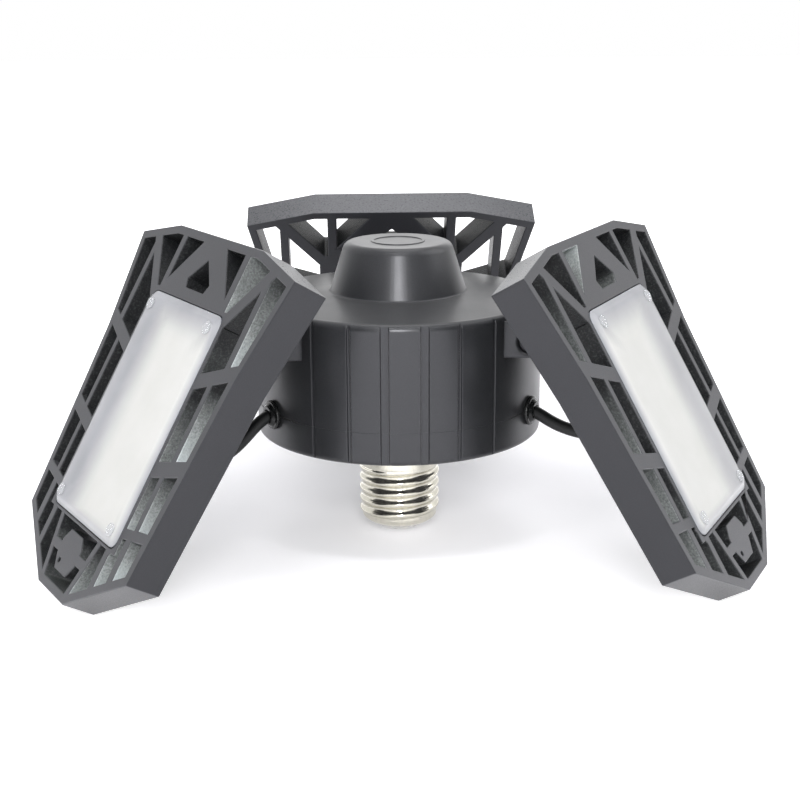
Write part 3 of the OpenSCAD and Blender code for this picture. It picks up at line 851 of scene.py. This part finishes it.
def lens_painted_light(side, v, u):
    """How milky the lens looks, with painted shade: least at its upper end and towards the flank
    turned away, where a grey border is painted. That flank's bevelled edge is painted light again
    as a highlight, and the left lens is painted the greyer of the two there.
    """
    ends = min(smooth_step(0.5, 12.0, v - LENS_V), smooth_step(0.0, 5.0, LENS_V + LENS_L - v))
    near = NEAR[side]
    if not near:
        return ends
    close, far = LENS_W / 2 - near * u, LENS_W / 2 + near * u
    # A painted highlight along the far flank's bevelled edge.
    painted_edge_highlight = 0.75 * (1 - smooth_step(1.7, 2.4, far))
    # The left lens is painted greyer there: painted shade.
    low = 0.0 if side == "left" else 0.22
    milky = low + (1 - low) * smooth_step(8.0, 24.0, far) + 0.1 * (1 - smooth_step(2.0, 9.0, far))
    return min(ends, smooth_step(0.5, 2.6, close), max(painted_edge_highlight, milky))


def make_lenses():
    outlines = [(lens_outline(inset), up) for inset, up in LENS_ROWS]
    for side, azimuth in SIDES.items():
        rings = [[on_panel(azimuth, v, u, PANEL_T + up) for v, u in outline]
                 for outline, up in outlines]
        mesh = grid_mesh(f"lens_{side}_frosted", rings, closed=False)
        # Painted shade and highlight across the lens, and its sides marked to be painted dark as
        # shade.
        glow = [lens_painted_light(side, v, u) for outline, _ in outlines for v, u in outline]
        wall = [1.0 if up < -0.01 else 0.0 for outline, up in outlines for _ in outline]
        for name, values in (("glow", glow), ("wall", wall)):
            mesh.attributes.new(name, "FLOAT", "POINT").data.foreach_set("value", values)
        add_piece(mesh, f"lens_{side}", "lens", 60)


# ---------------------------------------------------------------- glands and leads


def make_glands():
    # (radius, distance from the lamp's axis, fillet): inner flange, neck, outer flange, sleeve.
    profile = rounded([
        (1.95, 40.3, 0), (3.85, 40.3, 0.2), (3.85, 41.5, 0.2), (2.9, 41.5, 0), (2.9, 45.7, 0),
        (4.55, 45.65, 0.25), (4.55, 46.8, 0.5), (3.7, 46.85, 0.4), (2.85, 47.9, 0.35),
        (1.95, 47.9, 0),
    ], 5)
    for side, azimuth in SIDES.items():
        out, across = spokes(azimuth)
        rings = [[(out * x + across * r * math.cos(a) + UP * (SEAM_Z + r * math.sin(a))) * MM
                  for a in circle(48)] for r, x in profile]
        mesh = grid_mesh(f"gland_{side}_moulded", rings)
        add_piece(mesh, f"gland_{side}", "rubber", 50)


# A lead's radius, and how far along the panel its grommet is.
LEAD_R = 1.9
LEAD_V = 38.0
# A lead's run as (distance from the lamp's axis, height); the back lead copies the right one.
ROUTE_RIGHT = [(39.6, 20.5), (43.5, 20.5), (46.8, 20.4), (49.6, 19.4), (52.6, 18), (56, 16.8),
               (59.8, 16), (63.4, 15.7), (66.8, 16.1), (70, 17.5), (71.8, 20), (72.2, 22.8)]
ROUTE_LEFT = [(39.6, 20.5), (43.5, 20.5), (46.8, 20.4), (49.6, 19.3), (52.7, 17.1), (55.9, 14.4),
              (59.4, 11.9), (63.2, 10.2), (67.4, 10.1), (71.4, 12), (74, 15.5), (74.2, 19.8)]
ROUTES = {"back": ROUTE_RIGHT, "left": ROUTE_LEFT, "right": ROUTE_RIGHT}
# Its end in the panel, as off_panel takes it.
LEAD_ENTRY = [(11, 7.1), (6, 7.6), (3, 6.8), (0.8, 4.6), (0, 1.6), (0, -2)]
LEAD_STEPS = 7


def off_panel(down, off):
    """A point of a lead's run: how far below the grommet, and how far off the back face."""
    x, g = LEAD_V - HINGE_FOOT + down, HINGE_GAP - off
    return (HINGE_R + x * math.cos(DROOP) + g * math.sin(DROOP),
            HINGE_Z - x * math.sin(DROOP) + g * math.cos(DROOP))


def between(p0, p1, p2, p3, t):
    """A number on the smooth curve from p1 to p2, between those before and after them."""
    return 0.5 * (2 * p1 + (p2 - p0) * t + (2 * p0 - 5 * p1 + 4 * p2 - p3) * t * t
                  + (3 * p1 - p0 - 3 * p2 + p3) * t ** 3)


def smooth_route(points):
    out = []
    for i in range(len(points) - 1):
        around = (points[max(i - 1, 0)], points[i], points[i + 1],
                  points[min(i + 2, len(points) - 1)])
        for step in range(LEAD_STEPS):
            t = step / LEAD_STEPS
            out.append(tuple(between(*values, t) for values in zip(*around)))
    return out + [points[-1]]


def make_leads():
    for side, azimuth in SIDES.items():
        points = smooth_route(ROUTES[side] + [off_panel(*place) for place in LEAD_ENTRY])
        out, across = spokes(azimuth)
        rings = []
        for i, (r, z) in enumerate(points):
            r0, z0 = points[max(i - 1, 0)]
            r1, z1 = points[min(i + 1, len(points) - 1)]
            n = math.hypot(r1 - r0, z1 - z0)
            aside = out * (-(z1 - z0) / n) + UP * ((r1 - r0) / n)
            centre = out * r + UP * z
            rings.append([(centre + aside * LEAD_R * math.cos(a)
                           + across * LEAD_R * math.sin(a)) * MM for a in circle(28)])
        name = f"lead_{side}_sheath"
        o = new_object(name, grid_mesh(name, rings, closed=False))
        o.data.materials.append(MAT["sheath"])
        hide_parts(f"lead_{side}")
        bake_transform(o)


# ---------------------------------------------------------------- screw shell

# The shell's height below its rim and its thread's pitch, mean radius and half depth.
SHELL_H, PITCH = 20.4, 3.63
THREAD_R, THREAD_HALF = 12.62, 0.48
# Where the thread begins below the rim and ends above the foot, and how long it takes to.
BEGIN, BEGIN_LONG, END, END_LONG = 2.0, 1.4, 0.9, 1.2
# The plain radius down to the first height below the rim, and from there on.
COLLAR_R, COLLAR_H, FOOT_R = 13.12, 6.0, 12.3
ROW_STEP = 0.17


def shell_radius(z, angle):
    """The rolled shell's radius at a height from its rim: plain collar, thread, plain foot."""
    begun = clamp((-z - BEGIN) / BEGIN_LONG)
    left = clamp((SHELL_H - END + z) / END_LONG)
    share = smooth_step(0.0, 1.0, begun * left)
    wave = math.cos(2 * math.pi * (z - 1.5) / PITCH - angle)
    wave *= 1.15 - 0.15 * wave * wave
    plain = COLLAR_R if z > -COLLAR_H else FOOT_R
    return plain * (1 - share) + (THREAD_R + THREAD_HALF * wave) * share


def make_shell():
    # (height, how far the rim's rounding draws it in), then (radius, height) round the foot
    # and back up the inside.
    rows = [(-0.02, 0.12), (-0.12, 0.03), (-0.35, 0)]
    rows += [(-0.35 - i * ROW_STEP, 0) for i in range(1, int((SHELL_H - 0.45) / ROW_STEP))]
    inside = [(12.2, -SHELL_H), (11.95, -SHELL_H - 0.5), (11.4, -SHELL_H - 0.95),
              (10.9, -SHELL_H - 1.3), (10.5, -SHELL_H - 1.6), (9.75, -SHELL_H - 1.6),
              (9.75, -SHELL_H + 0.35), (11.44, -SHELL_H + 0.4), (11.44, -0.02)]
    turn = circle(144)
    rings = [[polar(shell_radius(z, a) - drawn, a, z) for a in turn] for z, drawn in rows]
    rings += [[polar(r, a, z) for a in turn] for r, z in inside]
    mesh = grid_mesh("screw_shell_rolled", rings)
    add_piece(mesh, "screw_shell", "nickel", 50)


# ---------------------------------------------------------------- pieces that keep the CAD's form

# (node, material, slot, width of the rounded edges in mm, ending of the piece's name).
PLAIN = [
    ("cover_screws", "zinc", "zinc_screws", 0.12, "heads"),
    ("insulator", "insulator", "white_insulator", 0.3, "glazed"),
    ("centre_contact", "contact", "contact_metal", 0.2, "button"),
    ("driver_board", "circuit", "circuit_board", 0.1, "laminate"),
    ("driver_parts", "component", "driver_components", 0.4, "components"),
]
# The same for nodes that each panel has, whose names end in its side.
PER_SIDE = [
    ("hinge_bolt", "dark_steel", "dark_steel", 0.2, "turned"),
    ("hinge_nut", "dark_steel", "dark_steel", 0.15, "hex"),
    ("washers", "spring", "spring_steel", 0.08, "pair"),
    ("arm", "arm", "arm_casting", 0.45, "cast"),
    ("arm_screws", "zinc", "zinc_screws", 0.12, "heads"),
    ("led_board", "board", "led_board_white", 0.15, "panel"),
    ("led_chips", "chip", "led_phosphor", 0.12, "grid"),
    ("lens_studs", "stud", "clear_studs", 0.2, "heads"),
    ("grommet", "rubber", "black_rubber", 0.3, "moulded"),
]


def make_plain_pieces():
    rows = PLAIN + [(f"{base}_{side}", *rest) for base, *rest in PER_SIDE for side in SIDES]
    for node, material, slot, width, ending in rows:
        finish_piece(dressed(node, f"{node}_{ending}", width), node, [material])


# ---------------------------------------------------------------- studio

# Metres: the floor's distance below the part, and half its width.
FLOOR_GAP, FLOOR_HALF = 0.0001, 4
# The floor seen is darkest round this place, within the first radius, and white past the second.
SHADE_AT = Vector((0, 0.085, 0))
SHADE_FROM, SHADE_TO, SHADE_GLOW = 0.05, 0.30, 0.24


def make_floor():
    z, far = CAD_BOX[0].z - FLOOR_GAP, FLOOR_HALF
    corners = [(-far, -far, z), (far, -far, z), (far, far, z), (-far, far, z)]
    mesh = bpy.data.meshes.new("floor")
    mesh.from_pydata(corners, [], [(0, 1, 2, 3)])
    floor = new_object("floor", mesh)
    m = Material("floor_white")
    lit = m.node("ShaderNodeBsdfDiffuse", Color=(0.8, 0.8, 0.8, 1))
    shown = m.node("ShaderNodeBsdfDiffuse", Color=(0.80, 0.79, 0.815, 1))
    shift = m.node("ShaderNodeVectorMath")
    shift.inputs[1].default_value = -SHADE_AT
    m.link(m.coord, shift.inputs[0])
    away = m.node("ShaderNodeVectorMath", operation="LENGTH")
    m.link(shift.outputs[0], away.inputs[0])
    rise = m.node("ShaderNodeMapRange", interpolation_type="SMOOTHSTEP")
    for socket, value in zip(rise.inputs[1:5], (SHADE_FROM, SHADE_TO, SHADE_GLOW, 1.0)):
        socket.default_value = value
    m.link(away.outputs["Value"], rise.inputs[0])
    glow = m.node("ShaderNodeEmission")
    m.link(rise.outputs[0], glow.inputs["Strength"])
    total = m.node("ShaderNodeAddShader")
    m.link(shown.outputs[0], total.inputs[0])
    m.link(glow.outputs[0], total.inputs[1])
    m.show(lit.outputs[0], total.outputs[0])
    mesh.materials.append(m.mat)


def make_world():
    world = bpy.data.worlds.new("studio")
    SCENE.world = world
    tree = Tree(world, "ShaderNodeOutputWorld")
    room = tree.node("ShaderNodeBackground", Color=(0.94, 0.96, 1.0, 1), Strength=0.5)
    white = tree.node("ShaderNodeBackground", Color=(1, 1, 1, 1), Strength=1.0)
    tree.show(room.outputs[0], white.outputs[0])


# (name, place in metres, width and height in metres, power in watts).
LAMPS = [
    ("front", (-0.03, -1.0, 0.42), 0.13, 0.5, 7.0),
    ("key", (-0.75, -0.6, 0.75), 0.5, 0.5, 4.9),
    ("fill", (-0.02, -0.98, 0.47), 0.3, 0.3, 8.1),
    ("right", (0.9, 0.0, 0.7), 0.9, 0.9, 4.1),
    ("overhead", (0.05, 0.3, 1.25), 0.7, 0.7, 3.2),
    ("strip", (-0.02, -0.55, 1.1), 0.6, 0.12, 2.6),
    ("behind", (0.07, 1.6, 0.42), 1.3, 0.5, 2.0),
    ("rear", (0.0, 1.1, 0.6), 0.4, 0.4, 4.0),
]
# "behind" stands in the camera's view, and those of the next row would show as glare on gloss.
NOT_SEEN = ("behind",)
NOT_REFLECTED = ("key", "fill", "rear")
AIM = Vector((0, 0, 0.02))


def lit_sets():
    """What three lamps light: "front" the body, "fill" all else, "rear" the same but the floor."""
    sets = {name: bpy.data.collections.new(f"lit_by_{name}") for name in ("front", "fill", "rear")}
    for o in SCENE.objects:
        if o.type == "MESH":
            on_body = o.get("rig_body") == "body"
            sets["front" if on_body else "fill"].objects.link(o)
            if not on_body and o.name != "floor":
                sets["rear"].objects.link(o)
    return sets


def make_lamps():
    sets = lit_sets()
    for name, place, wide, tall, power in LAMPS:
        data = bpy.data.lights.new(name, "AREA")
        data.shape = "RECTANGLE"
        data.size = wide
        data.size_y = tall
        data.energy = power
        lamp = bpy.data.objects.new(name, data)
        SCENE.collection.objects.link(lamp)
        lamp.location = place
        lamp.rotation_euler = (AIM - Vector(place)).to_track_quat("-Z", "Y").to_euler()
        lamp.visible_camera = name not in NOT_SEEN
        lamp.visible_glossy = name not in NOT_REFLECTED
        if name in sets:
            lamp.light_linking.receiver_collection = sets[name]


make_camera()
make_housing()
make_ears()
make_cover()
make_glands()
make_frames()
make_lenses()
make_shell()
make_leads()
make_plain_pieces()
make_floor()
make_world()
make_lamps()
SCENE.view_settings.view_transform = "Standard"
